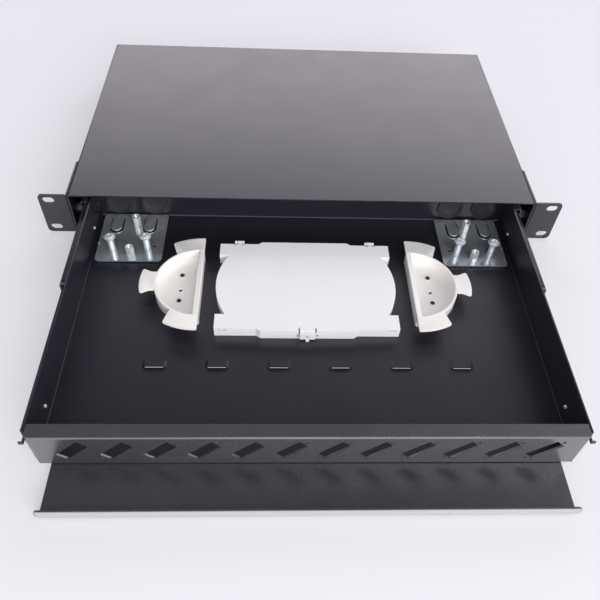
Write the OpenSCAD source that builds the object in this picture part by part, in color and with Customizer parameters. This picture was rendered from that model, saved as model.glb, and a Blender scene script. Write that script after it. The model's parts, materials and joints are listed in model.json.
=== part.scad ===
// Rack-mount fibre termination box with a sliding splice drawer.
// X is to the right, Y to the back and Z up. The origin is at the middle of the case's front
// bottom edge, in the plane of the rack ears. The drawer is drawn fully pulled out.

/* [Rack fit] */
// Width over the rack ears
rack_w = 482.6; // [482:0.1:484]
// Distance between the rack slots across the rack
slot_gap_x = 465.1; // [464.5:0.1:466]
// Distance between the rack slots up the rack
slot_gap_z = 31.75; // [31:0.05:32.5]
// Length of a rack slot
slot_len = 10.5; // [8:0.5:12]
// Width of a rack slot
slot_w = 6.5; // [6:0.1:7.5]
// Thickness of an ear
ear_t = 1.5; // [1.2:0.1:2]
// Length of an ear along the side of the case
ear_len = 52; // [45:1:60]

/* [Case] */
// Width of the case
case_w = 430; // [428:0.5:434]
// Height of the case, one rack unit
case_h = 44; // [44:0.1:44.4]
// Depth of the case
case_d = 272; // [270:1:320]
// Thickness of the sheet steel
sheet = 1.2; // [1:0.1:1.2]

/* [Drawer] */
// How far the drawer pulls out
travel = 241; // [236:1:243]
// Width over the drawer's sides
drawer_w = 390; // [389:0.5:390.4]
// Depth of the drawer
drawer_d = 262; // [260:0.5:266]
// Height of the drawer's top edge
drawer_top = 40; // [38:0.5:41]
// Depth of the cable tray in front of the drawer
tray_d = 38.4; // [25:0.2:45]
// Height of the cable tray's lip
lip_h = 9.5; // [6:0.5:14]
// Width of the cable tray
tray_w = 367.4; // [340:0.2:380]

/* [Adapter cutouts] */
// Number of cutouts
cutouts = 12; // [4:2:12]
// Distance between cutouts
cutout_pitch = 30; // [30:0.5:31]
// Length of a cutout
cutout_len = 25; // [20:0.5:25.5]
// Width of a cutout
cutout_w = 9.5; // [8:0.5:10]
// Distance between the two screw holes of a cutout
cutout_hole_gap = 30; // [29:0.5:31]

/* [Slides] */
// Height of the slides' axis
slide_z = 20.5; // [20:0.5:22]
// Length of the cabinet member
slide_len = 250; // [240:1:255]

/* [Inside the drawer] */
// Height of the fibre spools
spool_h = 12.8; // [10:0.2:18]
// Height of the closed splice tray
splice_h = 10; // [9:0.5:12]
// Opening angle at which the splice tray cover is drawn
cover_angle = 0; // [0:5:105]

/* [Hidden] */
$fn = 48;
eps = 0.01;

// Colours
powder_black = [0.10, 0.10, 0.12];
zinc = [0.80, 0.81, 0.82];
steel_dark = [0.20, 0.20, 0.21];
abs_white = [0.93, 0.93, 0.94];
spool_white = [0.95, 0.94, 0.92];
bumper_grey = [0.33, 0.33, 0.34];
plug_black = [0.14, 0.14, 0.15];
strip_grey = [0.74, 0.73, 0.74];

// Case
case_half = case_w / 2;
case_in = case_half - sheet;      // inner face of the case's side
bend = 2;                         // outer radius of a bend in the sheet
base_flange_h = 11;               // height of the base's upturned flanges
cover_screw_z = 7;
cover_screw_ys = [92, 168, 244];
ear_screw_ys = [14, 40];
ear_screw_zs = [12, 32];
ear_corner = 4;

// Height levels of the drawer's sheets
tray_z = sheet + 0.6;             // underside of the cable tray
floor_z = tray_z + sheet;         // underside of the drawer's floor
floor_top = floor_z + sheet;      // top of the drawer's floor

// Drawer, with y counted from the closed front
wall_out = drawer_w / 2;
wall_in = wall_out - sheet;
rear_in = drawer_d - sheet;       // inner face of the drawer's rear wall
panel_t = 1.5;
panel_r = 4;                      // outer radius of the panel's bends
panel_half = wall_in - 0.1;
panel_z0 = floor_top;
panel_top = drawer_top - 0.5;
panel_flange = 11;                // depth of the panel's top flange
panel_end = 8;                    // depth of its folded ends
cutout_z = 22.2;
cutout_tilt = 45;
cutout_hole_r = 1.25;
tray_r = 1.6;                     // outer radius of the bend into the lip
lip_w = tray_w + 3.6;
tray_tuck = 24;                   // length of the cable tray under the drawer
lance_xs = [for (n = [-2.5:2.5]) 49.4 * n + 1.4];
lance_y = 84.8;
lance_len = 21;
lance_w = 6;
lance_rise = 2.2;
entry_xs = [-175.5, -142.5, 142.5, 175.5];
entry_z = 19.8;
entry_r = 12.5;

// Slides: each member is a C channel, drawn for the right side
race_t = 1.2;
race_r = 2.2;                     // outer radius of a member's bends
outer_h = 27;
middle_h = 21;
inner_h = 15;
spacer_len = 7.8;
outer_web = case_in - spacer_len; // outer face of the cabinet member
middle_web = outer_web - race_t - 1;
inner_face = wall_out;            // face of the drawer member against the drawer
slide_y = 3;                      // front end of the cabinet member
middle_y = slide_y + 24;          // the closed drawer's front ends of the other members
inner_y = slide_y + 9;
middle_len = 221;
inner_len = 233;
arm_z = 30.4;                      // height of the drawer member's front arm
arm_h = 2.4;
cage_len = 60;
bumper_t = 2.2;                   // how far the bumper stands ahead of the middle member
ball_r = 0.8;
outer_screw_ys = [12, 128, 240];
wall_screw_ys = [39, 229];
wall_screw_z = slide_z - 4.4;

// Clamp plates
plate_w = 60;
plate_l = 62.5;
plate_t = 1.5;
plate_r = 3.5;
plate_z = floor_top + 1;
plate_top = plate_z + plate_t;
plate_centres = [[-160, 227.8], [158.8, 227]];
tall_xy = [[-16, -16], [15.6, -14.8]];  // places on the left plate, mirrored on the right
short_xy = [[2, 17], [1.6, -23.8]];
tongue_xs = [-16.5, 14];
tongue_w = 12.4;
tongue_l = 21;
tongue_y = 26;                    // place of a tongue's root, from the plate's centre
tongue_tilt = 8;
slit = 1.1;
stud_r = 2;
post_r = 3;
tall_h = 14.5;
short_h = 10.5;
washer_r = 5.2;

// Fibre spools, drawn for the right side about their own centre
spool_r = 39;
spool_t = 1.6;
spool_tab_r = 51.5;                // tab opposite the flat wall
spool_corner_r = 53;               // tabs at the ends of the flat wall
spool_chord = 1.5;                // distance of the flat wall's outer face from the centre, inwards
spool_flat = 4.5;                 // width of the flat wall's top flange
spool_y = 163.5;
spool_xs = [-92, 93.6];           // centres of the left and the right spool
spool_hole_ys = [16.2, -1.2, -13.4];
spool_hole_x = 17.4;

// Splice tray, about its own centre
tray_c = [0, 163.3];
splice_half = 77;
splice_rear = 49.1;
splice_front = -49.1;
block_l = 15;                     // length of a corner block
belly_r = 67;                     // radius of the round ends
belly_x = 78.2;
bulge_x = 44;
bulge_y = 2.6;
splice_wall = 1.6;
lid_t = 2;
lid_h = 4;                        // height of the lid with its rim
splice_z = floor_top;
lid_z = splice_z + splice_h - lid_h;
hinge_y = splice_rear + 3.8;
hinge_z = lid_z + 1.4;
hinge_r = 2.2;
pin_r = 1;
knuckle_xs = [-59.8, 60];
knuckle_w = 4;
lug_w = 2;

// ---------- helpers ----------

// Moves a piece with the drawer, by the given share of the drawer's travel
module pulled(share = 1) {
    translate([0, -share * travel, 0]) children();
}

// A flat plate with rounded corners, lying on z = 0
module rounded_plate(w, l, t, r) {
    linear_extrude(t) {
        square([w - 2 * r, l], center = true);
        square([w, l - 2 * r], center = true);
        for (x = [-1, 1], y = [-1, 1]) translate([x * (w / 2 - r), y * (l / 2 - r)]) circle(r);
    }
}

// Section of a sheet folded up along both long edges
module fold_section(half, z0, z1, t, r) {
    difference() {
        union() {
            translate([-half + r, z0]) square([2 * (half - r), z1 - z0]);
            translate([-half, z0 + r]) square([2 * half, z1 - z0 - r]);
            for (s = [-1, 1]) translate([s * (half - r), z0 + r]) circle(r);
        }
        translate([-half + r, z0 + t]) square([2 * (half - r), z1 - z0]);
        translate([-half + t, z0 + r]) square([2 * (half - t), z1 - z0]);
        for (s = [-1, 1]) translate([s * (half - r), z0 + r]) circle(r - t);
    }
}

// Extrudes a section drawn in X and Z along Y
module along_y(y0, y1) {
    translate([0, y1, 0]) rotate([90, 0, 0]) linear_extrude(y1 - y0) children();
}

// A rod from y0 to y1
module rod_y(x, z, r, y0, y1) {
    translate([x, y1, z]) rotate([90, 0, 0]) cylinder(r = r, h = y1 - y0);
}

// A rod from x0 to x1
module rod_x(y, z, r, x0, x1) {
    translate([x0, y, z]) rotate([0, 90, 0]) cylinder(r = r, h = x1 - x0);
}

// Both sides of the box
module both_sides() {
    children();
    mirror([1, 0, 0]) children();
}

// ---------- case ----------

module shell_cover() {
    color(powder_black) difference() {
        union() {
            // top and sides
            along_y(0, case_d) translate([0, case_h]) mirror([0, 1])
                fold_section(case_half, 0, case_h - 0.1, sheet, bend);
            // rear return of the top
            translate([-case_in + 0.3, case_d - sheet, case_h - 6])
                cube([2 * case_in - 0.6, sheet, 6 - sheet + eps]);
        }
        for (y = cover_screw_ys) rod_x(y, cover_screw_z, 1.6, -case_half - 1, case_half + 1);
        for (y = ear_screw_ys, z = ear_screw_zs)
            rod_x(y, z, 1.6, -case_half - 1, case_half + 1);
    }
}

module shell_base() {
    color(powder_black) difference() {
        union() {
            along_y(0, case_d) fold_section(case_in - 0.1, 0, base_flange_h, sheet, bend);
            // rear lip of the base
            translate([-case_in + bend + 0.5, case_d - sheet, 0])
                cube([2 * (case_in - bend) - 1, sheet, 4.4]);
        }
        for (y = cover_screw_ys) rod_x(y, cover_screw_z, 1.45, -case_half, case_half);
        // the ear screws and their nuts pass in front of the flanges
        translate([-case_half, -1, sheet + bend])
            cube([case_w, ear_len + 2, base_flange_h]);
    }
}

// A pan-head screw along X that points inwards, drawn for the right side
module side_screw(y, z, face, r, head_r, head_h, length) {
    rod_x(y, z, r, face - length, face + eps);
    difference() {
        rod_x(y, z, head_r, face, face + head_h);
        translate([face + head_h, y, z]) cube([1, 0.6, head_r * 1.3], center = true);
        translate([face + head_h, y, z]) cube([1, head_r * 1.3, 0.6], center = true);
    }
}

module cover_screws() {
    color(zinc) both_sides() for (y = cover_screw_ys)
        side_screw(y, cover_screw_z, case_half, 1.4, 2.9, 1.2, 4);
}

module rack_ear() {
    plate_out = rack_w / 2;
    difference() {
        union() {
            // front plate with rounded outer corners
            translate([0, ear_t, 0]) rotate([90, 0, 0]) linear_extrude(ear_t) {
                translate([case_half + bend, 0])
                    square([plate_out - case_half - bend - ear_corner, case_h]);
                translate([case_half + bend, ear_corner])
                    square([plate_out - case_half - bend, case_h - 2 * ear_corner]);
                for (z = [ear_corner, case_h - ear_corner])
                    translate([plate_out - ear_corner, z]) circle(ear_corner);
            }
            // flange along the case, with rounded rear corners
            translate([case_half, 0, 0]) rotate([90, 0, 90]) linear_extrude(ear_t) {
                translate([bend, 0.6]) square([ear_len - bend - 3, case_h - 1.2]);
                translate([bend, 3.6]) square([ear_len - bend, case_h - 7.2]);
                for (z = [3.6, case_h - 3.6]) translate([ear_len - 3, z]) circle(3);
            }
            // bend between the two
            translate([case_half + bend, bend, 0.6]) intersection() {
                difference() {
                    cylinder(r = bend, h = case_h - 1.2);
                    translate([0, 0, -1]) cylinder(r = bend - ear_t, h = case_h + 2);
                }
                translate([-bend, -bend, 0]) cube([bend + eps, bend + eps, case_h]);
            }
        }
        for (s = [-1, 1]) hull_free_slot(s);
        for (y = ear_screw_ys, z = ear_screw_zs)
            rod_x(y, z, 1.7, case_half - 1, case_half + ear_t + 1);
    }
}

// A rack slot, its ends true half circles
module hull_free_slot(side) {
    translate([slot_gap_x / 2, -1, case_h / 2 + side * slot_gap_z / 2]) {
        for (s = [-1, 1]) translate([s * (slot_len - slot_w) / 2, 0, 0])
            rotate([-90, 0, 0]) cylinder(r = slot_w / 2, h = ear_t + 2);
        translate([-(slot_len - slot_w) / 2, 0, -slot_w / 2])
            cube([slot_len - slot_w, ear_t + 2, slot_w]);
    }
}

module left_rack_ear() {
    color(powder_black) mirror([1, 0, 0]) rack_ear();
}

module right_rack_ear() {
    color(powder_black) rack_ear();
}

module ear_screws() {
    color(steel_dark) both_sides() for (y = ear_screw_ys, z = ear_screw_zs)
        side_screw(y, z, case_half + ear_t, 1.5, 3, 1.3, 5.2);
}

// ---------- slides, drawn for the right side ----------

// C channel whose web is at web_x and whose flanges run inwards to lip_x
module channel(web_x, lip_x, h, y0, length) {
    reach = abs(lip_x - web_x);
    along_y(y0, y0 + length) translate([web_x, slide_z]) mirror([web_x > lip_x ? 1 : 0, 0]) {
        translate([0, -h / 2 + race_r]) square([race_t, h - 2 * race_r]);
        for (s = [-1, 1]) {
            translate([race_r, s * (h - race_t) / 2 - race_t / 2]) square([reach - race_r, race_t]);
            // bend between the web and the flange
            translate([race_r, s * (h / 2 - race_r)]) intersection() {
                difference() {
                    circle(race_r);
                    circle(race_r - race_t);
                }
                translate([-race_r - eps, s > 0 ? -eps : -race_r - eps])
                    square([race_r + 2 * eps, race_r + 2 * eps]);
            }
        }
    }
}

module slide_outer() {
    difference() {
        channel(outer_web, outer_web - 6.6, outer_h, slide_y, slide_len);
        for (y = outer_screw_ys) rod_x(y, slide_z, 1.7, outer_web - 3, outer_web + 1);
        // long slots that lighten the web
        for (y = [70, 185]) translate([outer_web - 3, y - 14, slide_z - 2.2]) cube([4, 28, 4.4]);
    }
}

module slide_middle() {
    front = middle_y;
    difference() {
        channel(middle_web, middle_web - 6.2, middle_h, front, middle_len);
        // rounded front end of the web
        for (s = [-1, 1]) translate([middle_web - 3, front - eps, slide_z + s * middle_h / 2])
            rotate([0, 90, 0]) translate([0, 0, 0]) end_corner(s);
        for (y = [60, 150]) rod_x(front + y, slide_z, 3, middle_web - 3, middle_web + 1);
    }
}

// Cuts a corner of the middle member's front end to a curve
module end_corner(s) {
    r = 3;
    difference() {
        translate([-r, 0, -8]) cube([2 * r, r, 16]);
        translate([s * r, r, -9]) cylinder(r = r, h = 18);
        translate([s > 0 ? r : -3 * r, -1, -9]) cube([2 * r, r + 2, 18]);
    }
}

module slide_inner() {
    difference() {
        union() {
            channel(inner_face, inner_face + 6.4, inner_h, inner_y, inner_len);
            // arm that runs forward to the drawer's front corner, and its tab
            translate([inner_face, 0.4, arm_z]) cube([race_t, inner_y + 3, arm_h]);
            translate([inner_face, inner_y, slide_z]) cube([race_t, 3, arm_z + 1 - slide_z]);
            translate([inner_face, 0.4, arm_z]) cube([3.4, race_t, arm_h]);
        }
        for (y = wall_screw_ys) rod_x(y, wall_screw_z, 1.7, inner_face - 1, inner_face + 3);
    }
}

module slide_bumper() {
    channel(middle_web, middle_web - 6.2, middle_h, middle_y - bumper_t, bumper_t);
    // two feet that grip inside the flanges
    for (s = [-1, 1]) translate([middle_web - 5.9, middle_y - 1,
        slide_z + s * (middle_h / 2 - race_t - 0.7) - 0.7])
        cube([3.5, 7, 1.4]);
}

// Two strips of balls above and two below would be one race each: this is a top and a bottom strip
module ball_cage(x, h_in, h_out, y0) {
    gap = (h_out - 2 * race_t - h_in) / 2;
    z = h_in / 2 + gap / 2;
    for (s = [-1, 1]) {
        translate([x - 1.4, y0, slide_z + s * z - 0.35]) cube([2.8, cage_len, 0.7]);
        for (n = [0:5]) translate([x, y0 + 5 + n * 10, slide_z + s * z])
            sphere(r = ball_r, $fn = 24);
    }
}

module left_slide_outer() {
    color(steel_dark) mirror([1, 0, 0]) slide_outer();
}

module right_slide_outer() {
    color(steel_dark) slide_outer();
}

module left_slide_middle() {
    color(steel_dark) pulled(0.5) mirror([1, 0, 0]) slide_middle();
}

module right_slide_middle() {
    color(steel_dark) pulled(0.5) slide_middle();
}

module left_slide_inner() {
    color(steel_dark) pulled() mirror([1, 0, 0]) slide_inner();
}

module right_slide_inner() {
    color(steel_dark) pulled() slide_inner();
}

module left_slide_bumper() {
    color(bumper_grey) pulled(0.5) mirror([1, 0, 0]) slide_bumper();
}

module right_slide_bumper() {
    color(bumper_grey) pulled(0.5) slide_bumper();
}

outer_cage_y = slide_y + 92;      // closed places of the cages
inner_cage_y = slide_y + 104;
outer_cage_x = middle_web - 2.4;
inner_cage_x = middle_web - 3.6;

module left_outer_ball_cage() {
    color(zinc) pulled(0.25) mirror([1, 0, 0])
        ball_cage(outer_cage_x, middle_h, outer_h, outer_cage_y);
}

module right_outer_ball_cage() {
    color(zinc) pulled(0.25) ball_cage(outer_cage_x, middle_h, outer_h, outer_cage_y);
}

module left_inner_ball_cage() {
    color(zinc) pulled(0.75) mirror([1, 0, 0])
        ball_cage(inner_cage_x, inner_h, middle_h, inner_cage_y);
}

module right_inner_ball_cage() {
    color(zinc) pulled(0.75) ball_cage(inner_cage_x, inner_h, middle_h, inner_cage_y);
}

module slide_spacers() {
    color(steel_dark) both_sides() for (y = outer_screw_ys) difference() {
        rod_x(y, slide_z, 4, outer_web, case_in);
        rod_x(y, slide_z, 1.5, outer_web - 1, case_in - 1.5);
    }
}

module slide_outer_screws() {
    color(zinc) both_sides() for (y = outer_screw_ys) {
        rod_x(y, slide_z, 1.45, outer_web - race_t - eps, case_in - 2);
        rod_x(y, slide_z, 3.2, outer_web - race_t - 0.6, outer_web - race_t);
    }
}

// ---------- drawer ----------

module drawer_pan() {
    color(powder_black) pulled() difference() {
        union() {
            along_y(panel_r, drawer_d) fold_section(wall_out, floor_z, drawer_top, sheet, bend);
            translate([-wall_in + bend, 0.5, floor_z])
                cube([2 * (wall_in - bend), panel_r, sheet]);
            // rear wall
            translate([-wall_in - eps, rear_in, floor_z + sheet / 2])
                cube([2 * wall_in + 2 * eps, sheet, drawer_top - floor_z - sheet / 2]);
            // inner bend of the rear wall
            translate([-wall_in - eps, rear_in, floor_top]) rotate([90, 0, 90])
                linear_extrude(2 * wall_in + 2 * eps) difference() {
                    translate([-bend, -eps]) square([bend + eps, bend + eps]);
                    translate([-bend, bend]) circle(bend);
                }
            for (x = lance_xs) translate([x, lance_y, floor_top]) lance();
        }
        for (x = entry_xs) rod_y(x, entry_z, entry_r, rear_in - 1, drawer_d + 1);
        for (x = lance_xs) translate([x, lance_y, floor_top]) lance_window();
        for (y = wall_screw_ys) rod_x(y, wall_screw_z, 1.6, -wall_out - 1, wall_out + 1);
        for (c = plate_centres, p = post_places(c))
            translate([p[0], p[1], floor_z - 1]) cylinder(r = stud_r + 0.1, h = 4);
        for (p = spool_screw_places()) translate([p[0], p[1], floor_z - 1]) cylinder(r = 1.4, h = 4);
        for (x = [-40, 40]) translate([x, tray_c[1], floor_z - 1]) cylinder(r = 1.4, h = 4);
    }
}

// A bridge pressed up out of the floor: its sides slope from the floor to the flat top
module lance() {
    rise = lance_rise;
    half = lance_len / 2;
    lance_prism([[-half, -sheet + eps], [-half + 3, rise], [half - 3, rise], [half, -sheet + eps]]);
}

// The space under the bridge, open through the floor
module lance_window() {
    rise = lance_rise - sheet;
    half = lance_len / 2 - 1.6;
    lance_prism([[-half, -2 * sheet], [-half, -sheet], [-half + 2.2, rise], [half - 2.2, rise],
        [half, -sheet], [half, -2 * sheet]]);
}

module lance_prism(outline) {
    translate([0, lance_w / 2, 0]) rotate([90, 0, 0]) linear_extrude(lance_w) polygon(outline);
}

// Front plate with a folded edge at the top and short folded ends
module adapter_panel() {
    color(powder_black) pulled() difference() {
        union() {
            translate([0, 0, panel_z0]) linear_extrude(panel_top - panel_z0)
                fold_section(panel_half, 0, panel_end, panel_t, panel_r);
            // top flange between the drawer's sides
            translate([0, 0, panel_top - panel_t]) linear_extrude(panel_t) {
                translate([-panel_half, panel_r]) square([2 * panel_half, panel_flange - panel_r]);
                translate([-panel_half + panel_r, 0]) square([2 * (panel_half - panel_r), panel_r]);
                for (s = [-1, 1]) translate([s * (panel_half - panel_r), panel_r]) circle(panel_r);
            }
        }
        // rounded top front edge
        difference() {
            translate([-wall_out, -1, panel_top - 1.5]) cube([drawer_w, 2.5, 3]);
            rotate([0, 90, 0]) translate([-(panel_top - 1.5), 1.5, -wall_out - 1])
                cylinder(r = 1.5, h = drawer_w + 2);
        }
        for (n = [0:cutouts - 1]) translate([(n - (cutouts - 1) / 2) * cutout_pitch, 0, cutout_z])
            rotate([0, -cutout_tilt, 0]) {
                translate([-cutout_len / 2, -1, -cutout_w / 2]) cube([cutout_len, panel_t + 2, cutout_w]);
                for (s = [-1, 1]) rod_y(s * cutout_hole_gap / 2, 0, cutout_hole_r, -1, panel_t + 1);
            }
    }
}

// Tray that starts under the drawer and ends in an upturned lip
module front_cable_tray() {
    corner = 3;
    color(powder_black) pulled() {
        translate([-tray_w / 2, 0, 0]) rotate([90, 0, 90]) linear_extrude(tray_w)
            translate([-tray_d + tray_r, tray_z]) square([tray_d - tray_r + tray_tuck, sheet]);
        translate([-lip_w / 2, 0, 0]) rotate([90, 0, 90]) linear_extrude(lip_w) {
            translate([-tray_d + tray_r - eps, tray_z]) square([sheet, sheet]);
            translate([-tray_d, tray_z + tray_r]) square([sheet, lip_h - tray_r - corner]);
            intersection() {
                translate([-tray_d + tray_r, tray_z + tray_r]) difference() {
                    circle(tray_r);
                    circle(tray_r - sheet);
                }
                translate([-tray_d, tray_z]) square(tray_r);
            }
        }
        // upper part of the lip, with rounded corners
        translate([0, -tray_d + sheet, tray_z + lip_h - corner]) rotate([90, 0, 0]) linear_extrude(sheet) {
            translate([-lip_w / 2, -eps]) square([lip_w, eps * 2]);
            translate([-lip_w / 2 + corner, 0]) square([lip_w - 2 * corner, corner]);
            for (s = [-1, 1]) intersection() {
                translate([s * (lip_w / 2 - corner), 0]) circle(corner);
                translate([s > 0 ? 0 : -lip_w / 2, 0]) square([lip_w / 2, corner]);
            }
        }
    }
}

// Blank strip for port markings on the lip's front face
module marking_strip() {
    color(strip_grey) pulled() translate([0, -tray_d, tray_z + 0.1]) rotate([90, 0, 0])
        linear_extrude(0.4) translate([-lip_w / 2 + 1, 0]) square([lip_w - 2, lip_h - 0.5]);
}

module drawer_slide_screws() {
    color(zinc) pulled() both_sides() for (y = wall_screw_ys) {
        rod_x(y, wall_screw_z, 1.5, wall_in - eps, wall_out + race_t);
        difference() {
            rod_x(y, wall_screw_z, 3, wall_in - 1.4, wall_in);
            translate([wall_in - 1.4, y, wall_screw_z]) cube([1, 0.7, 3.6], center = true);
            translate([wall_in - 1.4, y, wall_screw_z]) cube([1, 3.6, 0.7], center = true);
        }
    }
}

// ---------- clamp plates ----------

// Side of the box that a plate's centre is on: 1 for the left, whose pattern is the drawn one
function side_of(c) = c[0] < 0 ? 1 : -1;
function places(c, list) = [for (p = list) [c[0] + side_of(c) * p[0], c[1] + p[1]]];
function post_places(c) = concat(places(c, tall_xy), places(c, short_xy));

module clamp_plate(c) {
    color(zinc) pulled() difference() {
        union() {
            difference() {
                translate([c[0], c[1], plate_z]) rounded_plate(plate_w, plate_l, plate_t, plate_r);
                for (x = tongue_xs) translate([c[0] + side_of(c) * x, c[1] + tongue_y, plate_z - 1])
                    linear_extrude(plate_t + 2) tongue_outline(0);
            }
            for (x = tongue_xs) translate([c[0] + side_of(c) * x, c[1] + tongue_y, plate_top]) tongue();
        }
        for (p = post_places(c)) translate([p[0], p[1], plate_z - 1])
            cylinder(r = stud_r + 0.1, h = plate_t + 2);
        translate([c[0] + side_of(c) * 21.5, c[1] - 12, plate_z - 1]) cylinder(r = 1.6, h = 4);
        translate([c[0] - side_of(c) * 25.5, c[1] - 4, plate_z - 1]) cylinder(r = 1.6, h = 4);
    }
}

// Outline of a tongue whose root is at the back and whose free end is round, smaller by inset
module tongue_outline(inset) {
    r = tongue_w / 2 - inset;
    translate([-r, -tongue_l + tongue_w / 2]) square([2 * r, tongue_l - tongue_w / 2]);
    translate([0, -tongue_l + tongue_w / 2]) circle(r);
}

// The tongue itself, bent up from its root
module tongue() {
    rotate([-tongue_tilt, 0, 0]) translate([0, 0, -plate_t]) linear_extrude(plate_t) {
        tongue_outline(slit);
        translate([-tongue_w / 2 + slit, -1]) square([tongue_w - 2 * slit, 2.5]);
    }
}

module tall_posts(c) {
    color(zinc) pulled() for (p = places(c, tall_xy)) translate([p[0], p[1], 0]) difference() {
        union() {
            translate([0, 0, plate_top]) cylinder(r = post_r, h = tall_h);
            translate([0, 0, floor_z]) cylinder(r = stud_r, h = plate_top - floor_z + eps);
        }
        translate([0, 0, plate_top + tall_h - 6]) cylinder(r = 1.6, h = 7);
    }
}

module clamp_washers(c) {
    z = plate_top + tall_h;
    color(zinc) pulled() for (p = places(c, tall_xy)) translate([p[0], p[1], z]) difference() {
        cylinder(r = washer_r, h = 1);
        translate([0, 0, -1]) cylinder(r = 1.7, h = 3);
        for (n = [0:15]) rotate(n * 22.5) translate([washer_r, 0, -1]) cylinder(r = 0.45, h = 3, $fn = 6);
    }
}

module clamp_screws(c) {
    z = plate_top + tall_h + 1;
    color(zinc) pulled() for (p = places(c, tall_xy)) translate([p[0], p[1], 0]) {
        translate([0, 0, z - 6]) cylinder(r = 1.5, h = 6 + eps);
        difference() {
            translate([0, 0, z]) cylinder(r = 3.8, h = 1.6);
            translate([-3, -0.5, z + 0.9]) cube([6, 1, 1]);
            translate([-0.5, -3, z + 0.9]) cube([1, 6, 1]);
        }
    }
}

module short_posts(c) {
    color(zinc) pulled() for (p = places(c, short_xy)) translate([p[0], p[1], 0]) difference() {
        union() {
            translate([0, 0, plate_top]) cylinder(r = 3.9, h = short_h, $fn = 6);
            translate([0, 0, floor_z]) cylinder(r = stud_r, h = plate_top - floor_z + eps);
        }
        translate([0, 0, plate_top + 1.5]) cylinder(r = 2, h = short_h);
    }
}

module plate_spacers() {
    color(zinc) pulled() for (c = plate_centres, p = post_places(c))
        translate([p[0], p[1], floor_top]) difference() {
            cylinder(r = 4.5, h = 1);
            translate([0, 0, -1]) cylinder(r = stud_r + 0.1, h = 3);
        }
}

module left_clamp_plate() {
    clamp_plate(plate_centres[0]);
}

module right_clamp_plate() {
    clamp_plate(plate_centres[1]);
}

module left_tall_posts() {
    tall_posts(plate_centres[0]);
}

module right_tall_posts() {
    tall_posts(plate_centres[1]);
}

module left_clamp_washers() {
    clamp_washers(plate_centres[0]);
}

module right_clamp_washers() {
    clamp_washers(plate_centres[1]);
}

module left_clamp_screws() {
    clamp_screws(plate_centres[0]);
}

module right_clamp_screws() {
    clamp_screws(plate_centres[1]);
}

module left_short_posts() {
    short_posts(plate_centres[0]);
}

module right_short_posts() {
    short_posts(plate_centres[1]);
}

// ---------- fibre spools ----------

// Part of a disc between two angles that are less than 180 degrees apart
module sector(r, a0, a1) {
    far = 2 * r;
    intersection() {
        circle(r);
        polygon([[0, 0], far * [cos(a0), sin(a0)], far * [cos((a0 + a1) / 2), sin((a0 + a1) / 2)],
            far * [cos(a1), sin(a1)]]);
    }
}

module spool_body(r, x0) {
    intersection() {
        circle(r, $fn = 96);
        translate([x0, -r - 1]) square([r + 1 - x0, 2 * r + 2]);
    }
}

module fiber_spool() {
    tab_t = 1.8;
    difference() {
        union() {
            linear_extrude(spool_h) spool_body(spool_r, -spool_chord);
            translate([0, 0, spool_h - tab_t]) linear_extrude(tab_t) intersection() {
                union() {
                    sector(spool_corner_r, 59.5, 100);
                    sector(spool_corner_r, -100, -59.5);
                    sector(spool_tab_r, -16, 16);
                }
                translate([-spool_chord, -60]) square([70, 120]);
            }
        }
        translate([0, 0, spool_t]) linear_extrude(spool_h) difference() {
            spool_body(spool_r - spool_t, -spool_chord + spool_t);
        }
        // chamfered front inner corner
        translate([-spool_chord, -spool_corner_r, -1]) rotate(45) cube([4, 4, 40], center = true);
        for (y = spool_hole_ys) translate([spool_hole_x, y, -1]) cylinder(r = 1.6, h = 4);
    }
    // top flange of the flat wall
    translate([-spool_chord, -spool_r + 3, spool_h - tab_t])
        cube([spool_flat, 2 * spool_r - 6, tab_t]);
}

module left_fiber_spool() {
    color(spool_white) pulled() translate([spool_xs[0], spool_y, floor_top]) mirror([1, 0, 0])
        fiber_spool();
}

module right_fiber_spool() {
    color(spool_white) pulled() translate([spool_xs[1], spool_y, floor_top]) fiber_spool();
}

function spool_screw_places() = [
    for (n = [0, 1], y = [spool_hole_ys[0], spool_hole_ys[2]])
        [spool_xs[n] + (2 * n - 1) * spool_hole_x, spool_y + y]
];

module spool_screws() {
    color(steel_dark) pulled() for (p = spool_screw_places())
        translate([p[0], p[1], 0]) {
            translate([0, 0, floor_z]) cylinder(r = 1.3, h = floor_top + spool_t - floor_z + eps);
            difference() {
                translate([0, 0, floor_top + spool_t]) cylinder(r = 2.1, h = 1.2);
                translate([-1.4, -0.3, floor_top + spool_t + 0.6]) cube([2.8, 0.6, 1]);
                translate([-0.3, -1.4, floor_top + spool_t + 0.6]) cube([0.6, 2.8, 1]);
            }
        }
}

// ---------- splice tray ----------

// Outline of the tray, made smaller all round by inset
module splice_outline(inset) {
    half = splice_half - inset;
    rear = splice_rear - inset;
    front = -splice_front - inset;
    // middle part with its round ends
    intersection() {
        square([2 * (belly_x - inset), 2 * rear], center = true);
        union() for (s = [-1, 1]) translate([s * (belly_x - belly_r), 0]) circle(belly_r - inset, $fn = 120);
    }
    // corner blocks
    translate([-half, rear - block_l + 2 * inset]) square([2 * half, block_l - 2 * inset]);
    translate([-half, -front]) square([2 * half, block_l - 2 * inset]);
    // front and rear bulges
    for (s = [-1, 1]) polygon([
        [-bulge_x, s * rear - s], [-bulge_x + 5, s * (rear + bulge_y)],
        [bulge_x - 5, s * (rear + bulge_y)], [bulge_x, s * rear - s]
    ]);
}

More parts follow.
